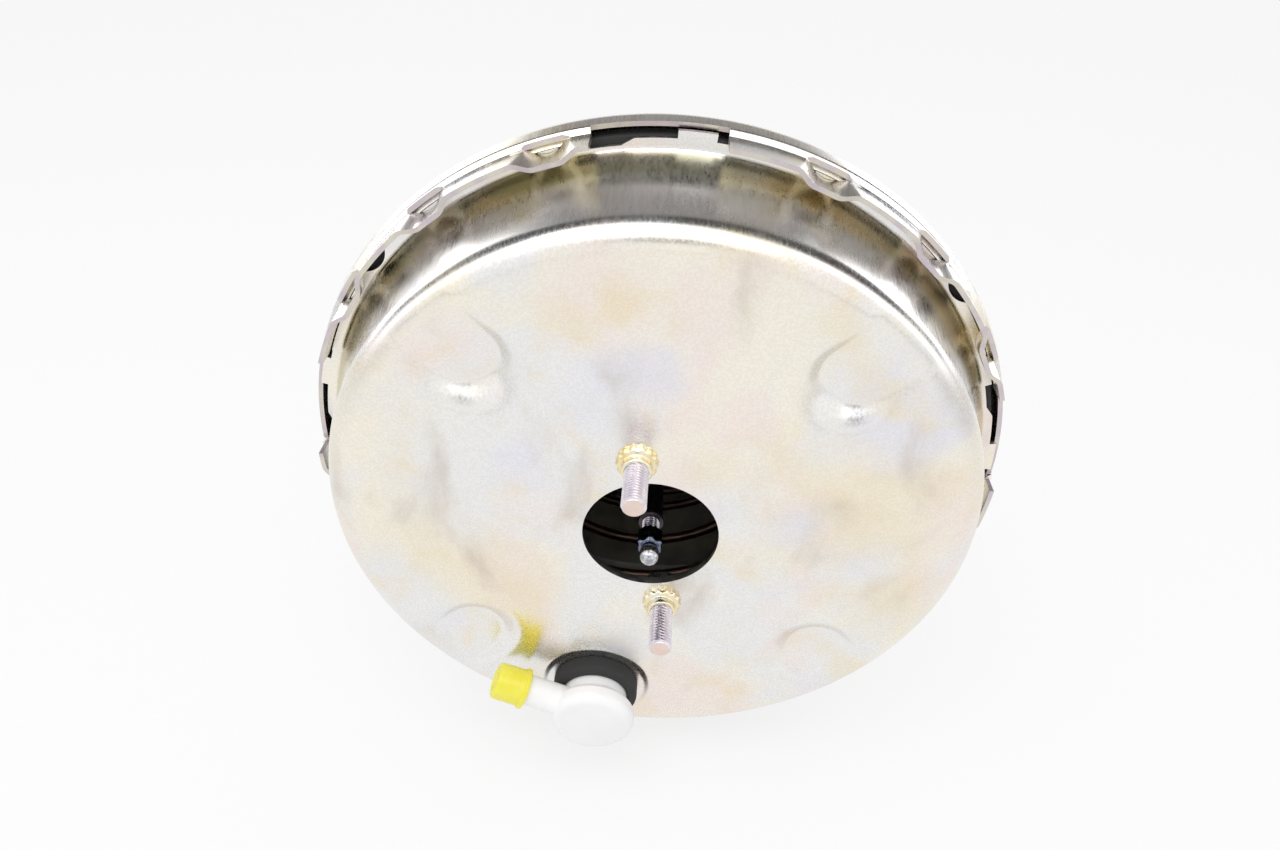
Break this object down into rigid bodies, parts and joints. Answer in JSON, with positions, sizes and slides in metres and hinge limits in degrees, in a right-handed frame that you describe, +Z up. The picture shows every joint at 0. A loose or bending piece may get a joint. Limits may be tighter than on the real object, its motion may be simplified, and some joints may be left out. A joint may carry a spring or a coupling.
{
  "type": "brake booster",
  "caption": "Round vacuum brake booster with pressed front cup, lanced rim, centre push rod, studs, check valve and rear clevis rod.",
  "frame": {"origin": "centre of the firewall stud pattern on the rear mounting face", "axes": "+Y rearward towards the pedal, -Y towards the master cylinder, +Z up, +X to the right as seen from the front"},
  "size_m": [0.2554, 0.2287, 0.2554],
  "materials": {
    "zinc_steel": "pressed sheet, pale yellow passivated zinc",
    "plain_steel": "pressed sheet, zinc plated",
    "stud_steel": "bright zinc, turned",
    "gold_zinc": "yellow passivated zinc",
    "dark_steel": "dark phosphated steel",
    "blued_steel": "blue-black polished steel",
    "spring_steel": "oiled spring wire",
    "black_rubber": "moulded rubber",
    "hub_plastic": "moulded phenolic",
    "white_plastic": "moulded nylon",
    "yellow_plastic": "soft moulded cap",
    "filter_foam": "open-cell foam",
    "felt": "pressed felt"
  },
  "bodies": {
    "housing": {"front_shell": "zinc_steel", "rear_shell": "zinc_steel", "front_reinforcement": "plain_steel", "rear_reinforcement": "plain_steel", "master_cylinder_studs": "stud_steel", "stud_collars": "gold_zinc", "firewall_studs": "gold_zinc", "diaphragm": "black_rubber", "return_spring": "spring_steel", "neck_seal": "black_rubber", "seal_retainer": "hub_plastic", "dust_boot": "black_rubber", "valve_grommet": "black_rubber"},
    "power_piston": {"valve_body": "hub_plastic", "diaphragm_plate": "plain_steel", "reaction_disc": "black_rubber", "output_rod": "dark_steel", "output_rod_retainer": "plain_steel", "adjuster_screw": "blued_steel", "plunger_key": "plain_steel", "poppet_valve": "black_rubber", "poppet_retainer": "plain_steel", "poppet_spring": "spring_steel", "rod_return_spring": "spring_steel", "air_filter": "filter_foam", "silencer_felt": "felt", "filter_retainer": "hub_plastic"},
    "control_plunger": {"plunger": "stud_steel"},
    "push_rod": {"input_rod": "gold_zinc", "lock_nut": "gold_zinc", "clevis": "gold_zinc"},
    "check_valve": {"check_valve_stem": "white_plastic", "check_valve_cover": "white_plastic", "check_valve_spring": "spring_steel"},
    "valve_disc": {"check_valve_disc": "black_rubber"},
    "valve_cap": {"port_cap": "yellow_plastic"}
  },
  "joints": [
    {"name": "boost_stroke", "type": "slide", "parent": "housing", "child": "power_piston", "axis": [0, -1, 0], "range_m": [0, 0.03], "stiffness_N_per_m": 4000, "springref_m": -0.03, "deforming": ["return_spring", "diaphragm", "dust_boot"]},
    {"name": "control_stroke", "type": "slide", "parent": "power_piston", "child": "control_plunger", "axis": [0, -1, 0], "range_m": [0, 0.002], "stiffness_N_per_m": 5000, "springref_m": -0.004, "deforming": ["rod_return_spring", "poppet_spring", "poppet_valve"]},
    {"name": "rod_tilt", "type": "hinge", "parent": "control_plunger", "child": "push_rod", "pos_m": [0, -0.014, 0], "axis": [1, 0, 0], "range_deg": [-2, 2], "stiffness_Nm_per_rad": 15},
    {"name": "valve_swivel", "type": "hinge", "parent": "housing", "child": "check_valve", "pos_m": [-0.01868, -0.0973, -0.0864], "axis": [0, -1, 0], "continuous": true},
    {"name": "valve_lift", "type": "slide", "parent": "check_valve", "child": "valve_disc", "axis": [0, -1, 0], "range_m": [0, 0.0015], "stiffness_N_per_m": 60, "springref_m": -0.002, "deforming": ["check_valve_spring"]},
    {"name": "cap_pull", "type": "slide", "parent": "check_valve", "child": "valve_cap", "axis": [-0.9232, 0, 0.3843], "range_m": [0, 0.016]}
  ]
}
